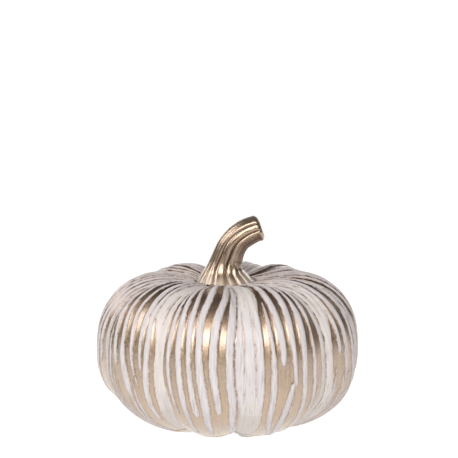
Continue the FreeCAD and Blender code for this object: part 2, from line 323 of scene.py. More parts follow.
# ---- where the white paint lies ----
def hidden_paint():
    """Ridges and bands for the sides and the back, laid out lobe by lobe."""
    draw = random.Random(PAINT_SEED)
    first, last = FRONT_EDGE
    creases = [a for a in CREASE_ANGLES if first < a < last]
    bands = []
    for crease in creases:
        half = draw.uniform(*HIDDEN_BAND_HALF_WIDTH)
        narrow = draw.uniform(0.55, 0.8)
        shift = draw.uniform(-1.2, 1.2)
        end = draw.uniform(0.94, 1.0)
        bands.append(((0.10, crease, half), (0.30, crease, half), (0.45, crease + shift, half),
                      (0.58, crease + shift, half * narrow), (0.75, crease, half),
                      (end, crease, half * 0.9)))
    ridges = []
    edges = [first] + creases + [last]
    beside_band = HIDDEN_BAND_HALF_WIDTH[1] + HIDDEN_CLEARANCE[0]
    for start, stop in zip(edges, edges[1:]):
        low = start + (beside_band if start in creases else HIDDEN_CLEARANCE[1])
        high = stop - (beside_band if stop in creases else HIDDEN_CLEARANCE[1])
        count = max(1, round((high - low) / draw.uniform(*HIDDEN_PITCH)))
        for index in range(count + 1):
            centre = low + (high - low) * index / count + draw.uniform(-0.7, 0.7)
            half = draw.uniform(*HIDDEN_HALF_WIDTH)
            middle = (start + stop) / 2.0
            spread = (middle - centre) * 0.16
            end = draw.choice((0.60, 0.68, 0.74, 0.80, 0.86, 0.92)) + draw.uniform(-0.03, 0.03)
            begin = 0.33 if draw.random() < 0.15 else 0.10
            points = [(begin, centre, half * (0.2 if begin > 0.2 else 1.25))]
            if begin < 0.2:
                points.append((0.26, centre, half * 1.15))
            for share in (0.40, 0.52, 0.64, 0.76, 0.88):
                if share > end - 0.04:
                    break
                wander = draw.uniform(-0.7, 0.7)
                sway = spread * max(0.0, share - 0.45) * 2.2
                points.append((share, centre + wander + sway, half * draw.uniform(0.75, 1.15)))
            tail = draw.choice((0.2, 0.6, 0.9))
            points.append((end, points[-1][1] + draw.uniform(-0.5, 0.5), half * tail))
            ridges.append(tuple(points))
    for low, high, pitch, lean in FINE_RIBS:
        for step in range(int((high - low) / pitch) + 1):
            centre = low + step * pitch + draw.uniform(-0.4, 0.4)
            half = draw.uniform(*FINE_RIB_HALF_WIDTH)
            begin, end = draw.uniform(0.60, 0.72), draw.uniform(0.90, 0.97)
            ridges.append(((begin, centre, 0.1), (begin + 0.08, centre + 0.2 * lean, half),
                           (0.5 * (begin + end) + 0.05, centre + 0.5 * lean, half * 1.1),
                           (end, centre + lean, 0.15)))
    return ridges, bands


def smooth_line(x, points, column):
    """Smooth curve through one column of a ridge's points, for shares x."""
    xs = np.array([p[0] for p in points])
    ys = np.array([p[column] for p in points])
    slopes = np.gradient(ys, xs)
    place = np.clip(np.searchsorted(xs, x, side="right") - 1, 0, len(xs) - 2)
    width = xs[place + 1] - xs[place]
    t = np.clip((x - xs[place]) / width, 0.0, 1.0)
    t2, t3 = t * t, t * t * t
    return ((2 * t3 - 3 * t2 + 1) * ys[place] + (t3 - 2 * t2 + t) * width * slopes[place]
            + (3 * t2 - 2 * t3) * ys[place + 1] + (t3 - t2) * width * slopes[place + 1])


def stripe_distance(points, share, around, radius, run):
    """Signed distance, in metres and positive inside, from the edge of one painted stripe."""
    centre = smooth_line(share, points, 1)
    half = np.maximum(np.radians(smooth_line(share, points, 2)) * radius, 1e-5)
    across = np.radians((around - centre + 180.0) % 360.0 - 180.0) * radius
    from_end = (points[-1][0] - share) * run
    from_start = (share - points[0][0]) * run
    inside = np.minimum(from_end, from_start)
    ended = np.clip(inside / (END_LENGTH * half), 0.0, 1.0)
    rounding = np.sqrt(1.0 - (1.0 - ended) ** 2)
    past = np.maximum(-inside, 0.0)
    return np.where(past > 0.0, -np.hypot(across, past), half * rounding - np.abs(across))


def paint_field(share, around, radius, run):
    """Signed distances to the paint's and the ridges' edges, and how thin the paint is there."""
    hidden_ridges, hidden_bands = hidden_paint()
    ridge = np.full(len(share), -PAINT_REACH)
    for points in (*FRONT_RIDGES, *hidden_ridges):
        ridge = np.maximum(ridge, stripe_distance(points, share, around, radius, run))
    edge, thin = ridge, np.zeros(len(share))
    for points in (*FRONT_BANDS, *hidden_bands):
        distance = stripe_distance(points, share, around, radius, run)
        thin = np.where(distance > edge, 1.0, thin)
        edge = np.maximum(edge, distance)
    wave = CROWN_PAINT_WAVE * (0.6 * np.sin(np.radians(around * 7.0 + 40.0))
                               + 0.4 * np.sin(np.radians(around * 13.0)))
    crown = (CROWN_PAINT_SHARE + wave - share) * run
    thin = np.where(crown > edge, 0.4, thin)
    edge = np.clip(np.maximum(edge, crown), -PAINT_REACH, PAINT_REACH)
    for points in SCRATCHED_LINES:
        edge = np.minimum(edge, -stripe_distance(points, share, around, radius, run))
    return edge, thin, ridge


def haze_field(share, around):
    """How much thin streaky paint lies over the gold low on the body, most at the sides."""
    turned = np.abs((around + 180.0) % 360.0 - 180.0)
    side = smoothstep((turned - 36.0) / 14.0)
    return fade_in(share, HAZE_SHARE) * (0.25 + 0.75 * side)


# ---- modelling helpers ----
def deselect_all():
    bpy.ops.object.select_all(action="DESELECT")
    bpy.context.view_layer.objects.active = None


def select_mesh():
    bpy.ops.mesh.select_all(action="SELECT")


def single_point(name, place):
    """A new mesh object that is one vertex at a place, in edit mode with the vertex selected."""
    deselect_all()
    bpy.ops.mesh.primitive_plane_add(size=0.001, location=(0.0, 0.0, 0.0))
    piece = bpy.context.object
    piece.name = name
    piece.data.name = name
    bpy.ops.object.mode_set(mode="EDIT")
    bpy.ops.mesh.select_mode(type="VERT")
    select_mesh()
    bpy.ops.mesh.merge(type="CENTER")
    bpy.ops.transform.translate(value=place)
    return piece


def draw_outline(points):
    """From the selected vertex at the first point, extrudes an outline through all points."""
    for before, after in zip(points, points[1:]):
        step = tuple(b - a for a, b in zip(before, after))
        bpy.ops.mesh.extrude_vertices_move(TRANSFORM_OT_translate={"value": step})


def vertex_places(piece):
    places = np.zeros(len(piece.data.vertices) * 3)
    piece.data.vertices.foreach_get("co", places)
    return places.reshape(-1, 3)


def set_vertex_places(piece, places):
    piece.data.vertices.foreach_set("co", np.asarray(places, float).ravel())
    piece.data.update()


def point_attribute(piece, name, values):
    kind = "FLOAT" if values.ndim == 1 else "FLOAT_VECTOR"
    attribute = piece.data.attributes.new(name, kind, "POINT")
    field = "value" if values.ndim == 1 else "vector"
    attribute.data.foreach_set(field, values.astype(np.float32).ravel())


def hand_over(piece, node, material):
    """The piece stands for its CAD node, rides with the body and takes the slot's finish."""
    piece.data.materials.clear()
    piece.data.materials.append(material)
    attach(piece, "root")
    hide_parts(node)


# ---- material helpers ----
class Nodes:
    """Short calls for building a material's node tree."""

    def __init__(self, name):
        self.material = bpy.data.materials.new(name)
        self.material.use_nodes = True
        self.tree = self.material.node_tree
        self.tree.nodes.clear()
        self.output = self.tree.nodes.new("ShaderNodeOutputMaterial")
        self.shader = self.tree.nodes.new("ShaderNodeBsdfPrincipled")
        self.tree.links.new(self.shader.outputs[0], self.output.inputs["Surface"])

    def add(self, kind, inputs=None, **settings):
        node = self.tree.nodes.new(kind)
        for key, value in settings.items():
            setattr(node, key, value)
        for key, value in (inputs or {}).items():
            self.feed(node.inputs[key], value)
        return node

    def feed(self, socket, value):
        if isinstance(value, bpy.types.NodeSocket):
            self.tree.links.new(value, socket)
        else:
            socket.default_value = value

    def attribute(self, name, output="Fac"):
        return self.add("ShaderNodeAttribute", attribute_name=name).outputs[output]

    def scaled(self, vector, scale):
        node = self.add("ShaderNodeMapping", {"Vector": vector, "Scale": scale})
        return node.outputs["Vector"]

    def noise(self, vector, scale, detail=2.0, roughness=0.5):
        node = self.add("ShaderNodeTexNoise", {
            "Vector": vector, "Scale": scale, "Detail": detail, "Roughness": roughness})
        return node.outputs["Fac"]

    def math(self, operation, first, second=0.0, clamp=False):
        node = self.add("ShaderNodeMath", {0: first, 1: second}, operation=operation,
                        use_clamp=clamp)
        return node.outputs[0]

    def ramp(self, value, low, high, to_low=0.0, to_high=1.0, smooth=False):
        node = self.add("ShaderNodeMapRange", {
            "Value": value, "From Min": low, "From Max": high, "To Min": to_low,
            "To Max": to_high}, interpolation_type="SMOOTHSTEP" if smooth else "LINEAR")
        return node.outputs["Result"]

    def blend(self, share, first, second, kind="RGBA"):
        """Mix of two colours, or of two numbers where kind is FLOAT."""
        *sockets, result = {"RGBA": (0, 6, 7, 2), "FLOAT": (0, 2, 3, 0)}[kind]
        node = self.tree.nodes.new("ShaderNodeMix")
        node.data_type = kind
        for socket, value in zip(sockets, (share, first, second)):
            self.feed(node.inputs[socket], value)
        return node.outputs[result]

    def bump(self, height, distance, strength=1.0):
        return self.add("ShaderNodeBump", {
            "Height": height, "Distance": distance, "Strength": strength}).outputs["Normal"]

    def principled(self, **inputs):
        for key, value in inputs.items():
            self.feed(self.shader.inputs[key.replace("_", " ")], value)
        return self.material


def rgba(colour, factor=1.0):
    return (*(part * factor for part in colour[:3]), 1.0)


# ---- settings ----
def colour_property(name, description, colour):
    return FloatVectorProperty(name=name, description=description, default=(*colour, 1.0), size=4,
                               min=0.0, max=1.0, subtype="COLOR")


def length_property(name, description, default, low, high, precision=5):
    return FloatProperty(name=name, description=description, default=default, min=low, max=high,
                         precision=precision, subtype="DISTANCE", unit="LENGTH")


class PumpkinBodySettings(PropertyGroup):
    ridge_height: length_property(
        "Ridge height", "How far the white ridges stand over the gold",
        0.0009, 0.0, 0.002)
    ridge_shoulder: length_property(
        "Ridge shoulder", "Width of the slope from the gold up to a ridge's top",
        0.0016, 0.0002, 0.004)
    columns: IntProperty(
        name="Columns", description="Columns of faces around the body", default=720, min=90,
        max=720)
    row_spacing: length_property(
        "Row spacing", "Distance between rows of faces down the skin",
        0.00152, 0.001, 0.01)
    white: colour_property(
        "White paint", "Colour of the thick white paint on the ridges", (0.63, 0.595, 0.60))
    worn_white: colour_property(
        "Thin white paint", "Colour of the thinly brushed bands", (0.575, 0.525, 0.495))
    gold: colour_property(
        "Gold coat", "Colour of the metallic base coat", (0.50, 0.352, 0.225))


class PumpkinStemSettings(PropertyGroup):
    groove_depth: FloatProperty(
        name="Groove depth", description="Depth of the grooves as a share of the stem's radius",
        default=0.15, min=0.0, max=0.3, subtype="FACTOR")
    columns: IntProperty(
        name="Columns", description="Columns of faces around the stem", default=180, min=36,
        max=360)
    rings: IntProperty(
        name="Rings", description="Rings of faces along the stem", default=90, min=12, max=200)
    gold: colour_property(
        "Gold coat", "Colour of the stem's metallic coat", (0.40, 0.28, 0.18))


class PumpkinUndersideSettings(PropertyGroup):
    luting: colour_property(
        "Luting", "Colour of the set luting under the stem", (0.60, 0.55, 0.47))
    pad: colour_property(
        "Foot pads", "Colour of the soft pads under the foot", (0.71, 0.69, 0.65))


class PumpkinStageSettings(PropertyGroup):
    camera_height: length_property(
        "Camera height", "Height of the camera over the floor",
        0.2813, 0.0, 3.0, 2)
    camera_distance: length_property(
        "Camera distance", "Level distance from the body's axis to the camera",
        0.9724, 0.1, 5.0, 2)
    camera_pitch: FloatProperty(
        name="Camera pitch", description="How far the camera looks down from the level",
        default=math.radians(9.76), min=0.0, max=1.5, subtype="ANGLE", unit="ROTATION")
    camera_lens: FloatProperty(
        name="Lens", description="Focal length of the camera on a 36 mm sensor",
        default=137.3, min=20.0, max=300.0, subtype="DISTANCE_CAMERA", unit="CAMERA")
    key_power: FloatProperty(
        name="Front light", description="Power of the widest of the soft lights in front",
        default=11.6, min=0.0, max=500.0, unit="POWER")
    floor_glow: FloatProperty(
        name="Floor brightness", description="How bright the pale floor is by itself",
        default=1.0, min=0.0, max=3.0, subtype="FACTOR")


# ---- body ----
def body_rows(spacing):
    """The closed outline of the shell as (kind, radius, height, normal r, normal z, share) rows.

    Kinds: skin and lining follow the lobes, plain rows are round and stay where they are.
    """
    line = Profile()
    seat = seat_height()
    rows = []
    top = line.length_at_radius(SOCKET_RADIUS, True)
    bottom = line.length_at_radius(foot_radius() - SKIN_UNDER_FOOT * FOOT_RING_WIDTH, False)
    count = int(round((bottom - top) / spacing))
    for values in zip(*line.at(np.linspace(top, bottom, count + 1))):
        radius, height, normal_r, normal_z, share = values
        if share < 0.5 and radius < STEM_STATIONS[0][3]:
            height = seat
        rows.append(("skin", radius, height, normal_r, normal_z, share))

    def plain(radius, height):
        rows.append(("plain", radius, height, 0.0, 0.0, PLAIN_SHARE))

    recess = foot_radius() - FOOT_RING_WIDTH
    recess_top = FOOT_HEIGHT + RECESS_DEPTH
    inner_floor = recess_top + WALL
    plain(recess + FOOT_ROUNDING, FOOT_HEIGHT)
    plain(recess, FOOT_HEIGHT + RECESS_BEVEL)
    plain(recess - RECESS_DEPTH, recess_top - RECESS_BEVEL)
    plain(recess - RECESS_DEPTH - RECESS_RUN_OUT, recess_top)
    plain(VENT_RADIUS + 2.0 * VENT_ROUNDING, recess_top)
    plain(VENT_RADIUS + VENT_ROUNDING, recess_top + 0.3 * VENT_ROUNDING)
    plain(VENT_RADIUS, recess_top + VENT_ROUNDING)
    plain(VENT_RADIUS, inner_floor)
    low = line.length_at_radius(foot_radius() - WALL, False)
    high = line.length_at_radius(SEAT_RADIUS + WALL, True)
    for values in zip(*line.at(np.linspace(low, high, LINING_ROWS))):
        rows.append(("lining",) + values)
    boss_bottom = float(profile(90.0)[1]) - WALL
    plain(SEAT_RADIUS, boss_bottom + BOSS_STEP)
    plain(SEAT_RADIUS, boss_bottom)
    plain(SOCKET_RADIUS, boss_bottom)
    return rows


def spin_body(rows, columns):
    """Extrudes the outline from one vertex and spins it into a closed shell."""
    outline = [(row[1], 0.0, row[2]) for row in rows]
    piece = single_point("pumpkin_body", outline[0])
    draw_outline(outline + [outline[0]])
    select_mesh()
    bpy.ops.mesh.remove_doubles(threshold=1e-6)
    select_mesh()
    bpy.ops.mesh.spin(steps=columns, angle=2.0 * math.pi, center=(0.0, 0.0, 0.0),
                      axis=(0.0, 0.0, 1.0))
    select_mesh()
    bpy.ops.mesh.remove_doubles(threshold=1e-6)
    select_mesh()
    bpy.ops.mesh.normals_make_consistent(inside=False)
    bpy.ops.object.mode_set(mode="OBJECT")
    return piece


def row_numbers(places, rows):
    """The outline row that each vertex of the spun shell came from."""
    radius = np.hypot(places[:, 0], places[:, 1])
    outline = np.array([[row[1], row[2]] for row in rows])
    numbers = np.zeros(len(places), int)
    batch = 20000
    for start in range(0, len(places), batch):
        part = slice(start, start + batch)
        gap = np.hypot(radius[part, None] - outline[None, :, 0],
                       places[part, 2][:, None] - outline[None, :, 1])
        numbers[part] = gap.argmin(axis=1)
    return numbers


def shape_body(piece, rows, settings):
    """Moves the spun shell's vertices into lobes and ridges, and notes where the paint lies."""
    run = Profile().foot_length
    places = vertex_places(piece)
    numbers = row_numbers(places, rows)
    kinds = np.array([("plain", "skin", "lining").index(row[0]) for row in rows])[numbers]
    radius, height, normal_r, normal_z, share = (
        np.array([row[column] for row in rows])[numbers] for column in range(1, 6))
    turn = np.arctan2(places[:, 0], -places[:, 1])
    around = np.degrees(turn)
    skin, lining = kinds == 1, kinds == 2
    edge, ridge = (np.full(len(places), -PAINT_REACH) for _ in range(2))
    thin = np.zeros(len(places))
    edge[skin], thin[skin], ridge[skin] = paint_field(share[skin], around[skin], radius[skin], run)
    rise = 1.0 - (1.0 - np.clip((ridge + RIDGE_LAP) / settings.ridge_shoulder, 0.0, 1.0)) ** 2
    band = thin * smoothstep(edge / BAND_EDGE)
    rise = np.maximum(rise, BAND_RISE * band)
    fade = fade_in(radius, MARGIN_FADE)
    fade = np.where(share > 0.5, 1.0, fade)
    margin = LEAST_MARGIN + (SKIN_MARGIN - LEAST_MARGIN) * np.exp(
        -((share - EQUATOR_SHARE) / MARGIN_SPREAD) ** 2)
    flatter = LOW_RELIEF_LOSS * smoothstep((share - LOW_RELIEF_START) / LOW_RELIEF_RUN)
    relief = settings.ridge_height * (1.0 - flatter)
    relief_fade = fade_in(radius, RELIEF_FADE)
    relief_fade = np.where(share > 0.5, 1.0, relief_fade)
    sunk = margin * fade + relief * (1.0 - rise) * relief_fade
    crease = CREASE_DEPTH * crease_fade(radius) * crease_share(around)
    depth = np.where(skin, sunk + crease, 0.0) + np.where(lining, WALL + crease, 0.0)
    radius = radius - depth * normal_r
    height = height - depth * normal_z
    over = height - FOOT_HEIGHT
    rounded = FOOT_HEIGHT + 0.5 * (over + np.hypot(over, FOOT_ROUNDING))
    height = np.where(skin & (share > 0.5), rounded, height)
    height = np.where(lining, np.maximum(height, FOOT_HEIGHT + RECESS_DEPTH + WALL), height)
    shift = STEM_STATIONS[0][0] * (1.0 - smoothstep((radius - SEAT_RADIUS) / SEAT_SHIFT_RUN))
    shift = np.where(height > EQUATOR_HEIGHT, shift, 0.0)
    set_vertex_places(piece, np.stack([
        radius * np.sin(turn) + shift, -radius * np.cos(turn), height], axis=1))
    point_attribute(piece, "paint_edge", edge * 1000.0)
    point_attribute(piece, "paint_thin", thin)
    point_attribute(piece, "brush_flow", np.stack([
        np.sin(turn) * BODY_RADIUS, np.cos(turn) * BODY_RADIUS, share * run], axis=1) * 1000.0)
    point_attribute(piece, "haze", haze_field(share, around))


def body_material(settings):
    """White paint brushed over the ridges of a metallic gold coat, with painted shade darkening the gold
    high on the body and beside the ridges.
    """
    n = Nodes("gold_and_white_coat")
    flow = n.attribute("brush_flow", "Vector")
    down = n.add("ShaderNodeSeparateXYZ", {"Vector": flow}).outputs["Z"]
    down = n.math("MULTIPLY", down, 0.001 / Profile().foot_length)    # brush_flow is in mm
    edge = n.attribute("paint_edge")
    thin = n.attribute("paint_thin")
    haze = n.attribute("haze")
    streaks = n.noise(n.scaled(flow, (1.6, 1.6, 0.10)), 1.0, 3.0, 0.6)
    long_streaks = n.noise(n.scaled(flow, (0.7, 0.7, 0.035)), 1.0, 2.0, 0.5)
    grain = n.noise(n.scaled(flow, (1.5, 1.5, 1.1)), 1.0, 3.0, 0.65)
    rag = n.noise(n.scaled(flow, (0.9, 0.9, 0.22)), 1.0, 3.0, 0.62)

    wobble = n.ramp(rag, 0.3, 0.7, -0.38, 0.38)
    fine = n.ramp(grain, 0.3, 0.7, -0.30, 0.30)
    ragged = n.math("ADD", n.math("ADD", edge, wobble), fine)
    scratches = n.math("MULTIPLY", n.ramp(streaks, 0.60, 0.70), n.ramp(thin, 0.0, 1.0, 0.2, 0.6))
    coverage = n.ramp(ragged, -0.30, 0.30, smooth=True)
    veil = n.math("MULTIPLY", n.ramp(long_streaks, 0.47, 0.56, 0.0, 0.42), haze)
    paint = n.math("MAXIMUM", n.math("SUBTRACT", coverage, scratches, clamp=True), veil)

    thick = n.blend(n.ramp(streaks, 0.38, 0.66), rgba(settings.white, 1.04),
                    rgba(settings.white, 0.80))
    thick = n.blend(n.ramp(grain, 0.62, 0.72, 0.0, 0.35), thick, SPECK)
    rim = n.ramp(ragged, 0.05, 1.05, 0.70, 0.0, smooth=True)
    thick = n.blend(rim, thick, RIDGE_RIM)
    brushed = n.blend(n.ramp(long_streaks, 0.35, 0.65), rgba(settings.worn_white),
                      rgba(settings.worn_white, 1.16))
    white = n.blend(n.ramp(thin, 0.0, 1.0, 0.0, 0.8), thick, brushed)
    dull = n.ramp(down, PARTING_SHARE - 0.004, PARTING_SHARE + 0.004, 0.0, 0.4)
    dull = n.math("MULTIPLY", dull, thin)
    white = n.blend(dull, white, DULL_PAINT)
    gold = n.blend(n.ramp(streaks, 0.35, 0.68), rgba(settings.gold), rgba(settings.gold, 0.80))
    # painted shade: the gold turns darker and redder high on the body, fading out by the lower middle
    shade = n.ramp(down, 0.24, 0.60, 0.85, 0.0, smooth=True)
    gold = n.blend(shade, gold, PAINTED_SHADE_GOLD)
    # painted shade: the gold gaps below the crown are darkened to deep brown, fading out above the middle
    upper_shade = n.ramp(down, 0.27, 0.41, 0.85, 0.0, smooth=True)
    gold = n.blend(upper_shade, gold, UPPER_SHADE_BROWN)
    # painted shade: the gold darkens just beside each ridge's paint, partly as a brown contour
    contour_and_shade = n.ramp(ragged, -0.60, -0.10, 0.0, 0.7, smooth=True)
    gold = n.blend(contour_and_shade, gold, EDGE_CONTOUR_AND_SHADE)
    colour = n.blend(paint, gold, white)
    metal = n.math("SUBTRACT", 1.0, paint, clamp=True)
    roughness = n.blend(paint, n.ramp(grain, 0.3, 0.7, 0.14, 0.30), 0.55, "FLOAT")

    relief = n.math("ADD", n.math("MULTIPLY", coverage, 0.10),
                    n.math("MULTIPLY", streaks, 0.16))
    relief = n.math("ADD", relief, n.math("MULTIPLY", grain, n.ramp(paint, 0.0, 1.0, 0.42, 0.14)))
    return n.principled(
        Base_Color=colour, Metallic=metal, Roughness=roughness,
        # the coat is weaker where that painted shade darkens the upper gold
        Coat_Weight=n.math("MULTIPLY", metal, n.ramp(upper_shade, 0.0, 0.85, 0.8, 0.15)),
        Coat_Roughness=0.24, Coat_IOR=2.2,
        Normal=n.bump(relief, 0.001, 0.8))


class PUMPKIN_OT_body(Operator):
    """Builds the lobed shell with its ridges, foot, vent and stem socket"""
    bl_idname = "pumpkin.body"
    bl_label = "Lobed body"

    def execute(self, context):
        settings = context.scene.pumpkin_body
        rows = body_rows(settings.row_spacing)
        piece = spin_body(rows, settings.columns)
        shape_body(piece, rows, settings)
        bpy.ops.object.shade_smooth_by_angle(angle=math.radians(SHARP_ANGLE))
        hand_over(piece, "body_shell", body_material(settings))
        return {"FINISHED"}


# ---- stem ----
def stem_line(rings):
    """Centre, lean and radius of every ring along the stem, smooth through the stations."""
    stations = np.array(STEM_STATIONS)
    stations[:, 1] += seat_height() + LUTING_GAP
    stations[0, 1] -= FOOT_SKIRT
    steps = np.hypot(np.diff(stations[:, 0]), np.diff(stations[:, 1]))
    length = np.append(0.0, np.cumsum(steps))
    line = [(s, *row) for s, row in zip(length, stations)]
    places = np.linspace(0.0, length[-1], rings + 1)
    across, height, lean, radius = (smooth_line(places, line, column) for column in range(1, 5))
    along = places / length[-1]
    trim = TIP_TRIM * smoothstep((along - TIP_TRIM_PLACE[0]) / TIP_TRIM_PLACE[1])
    return along, across, height - trim, np.radians(lean), radius - trim


def extrude_stem(settings):
    """Extrudes a ring up the stem's line, turning and resizing it on the way."""
    along, across, height, lean, radius = stem_line(settings.rings)
    deselect_all()
    bpy.ops.mesh.primitive_circle_add(vertices=settings.columns, radius=radius[0],
                                      location=(across[0], 0.0, height[0]))
    piece = bpy.context.object
    piece.name = piece.data.name = "pumpkin_stem"
    bpy.ops.object.transform_apply(location=True, rotation=True, scale=True)
    bpy.ops.object.mode_set(mode="EDIT")
    select_mesh()
    for ring in range(1, len(along)):
        centre = (across[ring], 0.0, height[ring])
        step = (across[ring] - across[ring - 1], 0.0, height[ring] - height[ring - 1])
        size = radius[ring] / radius[ring - 1]
        bpy.ops.mesh.extrude_edges_move(TRANSFORM_OT_translate={"value": step})
        bpy.ops.transform.resize(value=(size, size, size), center_override=centre)
        bpy.ops.transform.rotate(value=-(lean[ring] - lean[ring - 1]), orient_axis="Y",
                                 center_override=centre)
    return piece


def close_stem_tip():
    """Rounds the cut end into a shallow hollow and closes it, then closes the foot."""
    lean = math.radians(STEM_STATIONS[-1][2])
    inward = Vector((-math.sin(lean), 0.0, -math.cos(lean)))
    for size, sink in TIP_RINGS:
        bpy.ops.mesh.extrude_edges_move(TRANSFORM_OT_translate={"value": tuple(inward * sink)})
        bpy.ops.transform.resize(value=(size, size, size))
    bpy.ops.mesh.edge_face_add()
    bpy.ops.mesh.select_all(action="DESELECT")
    bpy.ops.mesh.select_non_manifold(extend=False)
    bpy.ops.mesh.edge_face_add()
    select_mesh()
    bpy.ops.mesh.normals_make_consistent(inside=False)
    bpy.ops.object.mode_set(mode="OBJECT")


def groove_share(around, along):
    """Depth of the stem's grooves, 0 on a rib and up to 1 in a deep groove."""
    angles, foot, upper = (np.array(column) for column in zip(*STEM_GROOVES))
    turned = (around - angles[0]) % 360.0
    starts = (angles - angles[0]) % 360.0
    widths = np.diff(np.append(starts, 360.0))
    rib = np.searchsorted(starts, turned, side="right") - 1
    x = 2.0 * (turned - starts[rib]) / widths[rib] - 1.0
    nearest = np.where(x < 0.0, rib, (rib + 1) % len(angles))
    up = fade_in(along, FOOT_GROOVES_END)
    return (foot[nearest] * (1.0 - up) + upper[nearest] * up) * np.abs(x) ** GROOVE_SHARPNESS


def groove_stem(piece, settings):
    """Sinks the grooves into the plain stem and spreads the ends of the ribs at its foot."""
    along, across, height, lean = stem_line(settings.rings)[:4]
    places = vertex_places(piece)
    centres = np.stack([across, np.zeros(len(across)), height], axis=1)
    ring = np.zeros(len(places), int)
    total = settings.columns * len(along)
    ring[:total] = np.arange(total) // settings.columns
    ring[total:] = len(along) - 1
    centre = centres[ring]
    side = np.stack([np.cos(lean), np.zeros(len(lean)), -np.sin(lean)], axis=1)[ring]
    offset = places - centre
    local_x = np.einsum("ij,ij->i", offset, side)
    local_y = offset[:, 1]
    around = np.degrees(np.arctan2(local_x, -local_y))
    tip_start, tip_run = GROOVE_TIP
    depth = settings.groove_depth * (1.0 - GROOVE_LOSS * smoothstep(along * 1.1)
                                     - GROOVE_LOSS * smoothstep((along - tip_start) / tip_run))[ring]
    groove = groove_share(around, along[ring])
    shrink = 1.0 - depth * groove
    moved = places - (side * local_x[:, None] + np.array([0.0, 1.0, 0.0]) * local_y[:, None]) * (
        1.0 - shrink)[:, None]
    set_vertex_places(piece, moved)
    point_attribute(piece, "groove", groove)
    point_attribute(piece, "stem_flow", np.stack([
        np.sin(np.radians(around)) * STEM_FLOW[0], np.cos(np.radians(around)) * STEM_FLOW[0],
        along[ring] * STEM_FLOW[1]], axis=1))
    point_attribute(piece, "stem_along", along[ring])


def stem_material(settings):
    """Satin champagne gold with painted shade darkening the grooves, and brushed streaks along the ribs."""
    n = Nodes("stem_gold")
    flow = n.attribute("stem_flow", "Vector")
    groove = n.attribute("groove")
    streaks = n.noise(n.scaled(flow, (1.3, 1.3, 0.12)), 1.0, 3.0, 0.6)
    patches = n.noise(n.scaled(flow, (0.35, 0.35, 0.10)), 1.0, 2.0, 0.5)
    grain = n.noise(n.scaled(flow, (3.0, 3.0, 1.5)), 1.0, 2.0, 0.6)
    gold = n.blend(n.ramp(patches, 0.35, 0.65), rgba(settings.gold), rgba(settings.gold, 0.80))
    gold = n.blend(n.ramp(streaks, 0.45, 0.70, 0.0, 0.45), gold, STEM_STREAK)
    # painted shade: the deeper the groove, the darker the gold
    gold = n.blend(n.ramp(groove, 0.15, 0.95, 0.0, 0.7), gold, STEM_GROOVE_SHADE)
    ragged = n.math("ADD", n.attribute("stem_along"), n.ramp(patches, 0.3, 0.7, -0.05, 0.05))
    paint = n.ramp(ragged, 0.0, 0.17, 0.5, 0.0, smooth=True)
    colour = n.blend(paint, gold, STEM_FOOT_PAINT)
    metal = n.math("SUBTRACT", 1.0, paint)
    relief = n.math("ADD", n.math("MULTIPLY", streaks, 0.13), n.math("MULTIPLY", grain, 0.07))
    return n.principled(
        Base_Color=colour, Metallic=metal,
        Roughness=n.blend(paint, n.ramp(streaks, 0.3, 0.7, 0.20, 0.34), 0.60, "FLOAT"),
        Coat_Weight=n.math("MULTIPLY", metal, 0.8), Coat_Roughness=0.20, Coat_IOR=2.0,
        Normal=n.bump(relief, 0.001, 0.9))


class PUMPKIN_OT_stem(Operator):
    """Builds the bent, ribbed stem with its flared foot"""
    bl_idname = "pumpkin.stem"
    bl_label = "Stem"

    def execute(self, context):
        settings = context.scene.pumpkin_stem
        piece = extrude_stem(settings)
        close_stem_tip()
        groove_stem(piece, settings)
        bpy.ops.object.shade_smooth_by_angle(angle=math.radians(SHARP_ANGLE))
        hand_over(piece, "stem", stem_material(settings))
        return {"FINISHED"}


# ---- luting and pads ----
def luting_material(settings):
    """Set ceramic luting with a fine gritty surface."""
    n = Nodes("set_luting")
    place = n.add("ShaderNodeTexCoord").outputs["Object"]
    grit = n.noise(place, 1800.0, 3.0, 0.6)
    colour = n.blend(grit, rgba(settings.luting, 0.8), rgba(settings.luting))
    return n.principled(Base_Color=colour, Roughness=n.ramp(grit, 0.3, 0.7, 0.7, 0.9),
                        Normal=n.bump(grit, 0.0002))


def pad_material(settings):
    """Soft off-white rubber with a fine matte texture."""
    n = Nodes("soft_pad")
    place = n.add("ShaderNodeTexCoord").outputs["Object"]
    grain = n.noise(place, 2600.0, 2.0, 0.5)
    cloud = n.noise(place, 220.0, 2.0, 0.5)
    colour = n.blend(cloud, rgba(settings.pad, 0.92), rgba(settings.pad))
    return n.principled(Base_Color=colour, Roughness=n.ramp(grain, 0.3, 0.7, 0.55, 0.75),
                        Normal=n.bump(grain, 0.00015))


class PUMPKIN_OT_underside(Operator):
    """Finishes the luting under the stem and the pads under the foot"""
    bl_idname = "pumpkin.underside"
    bl_label = "Luting and foot pads"

    def execute(self, context):
        settings = context.scene.pumpkin_underside
        luting, pad = luting_material(settings), pad_material(settings)
        for name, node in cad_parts.items():
            if name == "stem_luting" or name.startswith("foot_pad"):
                node.data.materials.clear()
                node.data.materials.append(luting if name == "stem_luting" else pad)
        return {"FINISHED"}


# ---- stage ----
def pale_floor(settings):
    deselect_all()
    bpy.ops.mesh.primitive_circle_add(vertices=96, radius=20.0, fill_type="NGON",
                                      location=(0.0, 0.0, 0.0))
    floor = bpy.context.object
    floor.name = "pale_floor"
    n = Nodes("pale_floor")
    floor.data.materials.append(n.principled(
        Base_Color=(0.15, 0.15, 0.15, 1.0), Roughness=0.9, Emission_Color=(1.0, 0.995, 0.99, 1.0),
        Emission_Strength=settings.floor_glow))


